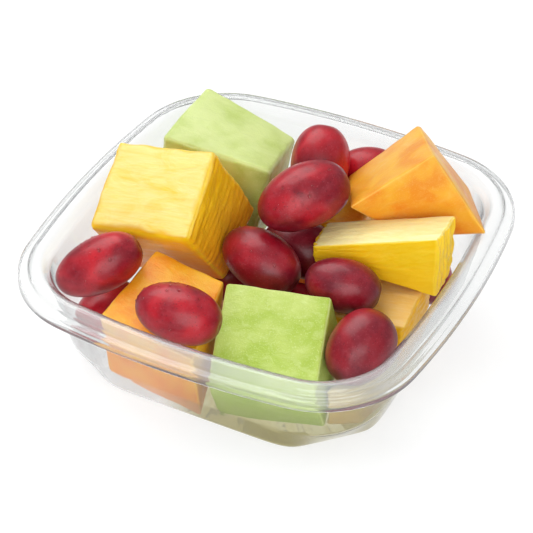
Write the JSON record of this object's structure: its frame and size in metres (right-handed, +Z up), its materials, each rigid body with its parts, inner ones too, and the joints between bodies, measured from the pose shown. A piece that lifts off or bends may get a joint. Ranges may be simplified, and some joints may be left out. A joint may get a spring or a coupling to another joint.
{
  "type": "fruit salad",
  "caption": "Chunks of honeydew, cantaloupe and pineapple with red grapes, heaped in an open clear square tub with rounded corners and a turned-down lip.",
  "frame": {"origin": "middle of the tub's flat underside", "axes": "+Z up; +X and +Y along the tub's sides, with -Y the side nearer the viewer and +X to the right"},
  "size_m": [0.132, 0.132, 0.0628],
  "materials": {
    "tub": "clear glossy formed sheet",
    "honeydew": "moist cut fruit",
    "cantaloupe": "moist cut fruit",
    "pineapple": "moist fibrous cut fruit",
    "grape": "smooth skin with a pale bloom"
  },
  "bodies": {
    "root": {"tub": "tub", "cantaloupe_front": "cantaloupe", "cantaloupe_low": "cantaloupe", "cantaloupe_right": "cantaloupe", "honeydew_front": "honeydew", "honeydew_back": "honeydew", "pineapple_low": "pineapple", "pineapple_corner": "pineapple", "pineapple_left": "pineapple", "pineapple_wedge": "pineapple", "grape_low_middle": "grape", "grape_low_centre": "grape", "grape_low_left": "grape", "grape_low_west": "grape", "grape_low_right": "grape", "grape_left": "grape", "grape_back_right": "grape", "grape_right": "grape", "grape_dark": "grape", "grape_middle": "grape", "grape_corner": "grape", "grape_back": "grape", "grape_top": "grape", "grape_front": "grape"}
  },
  "joints": []
}
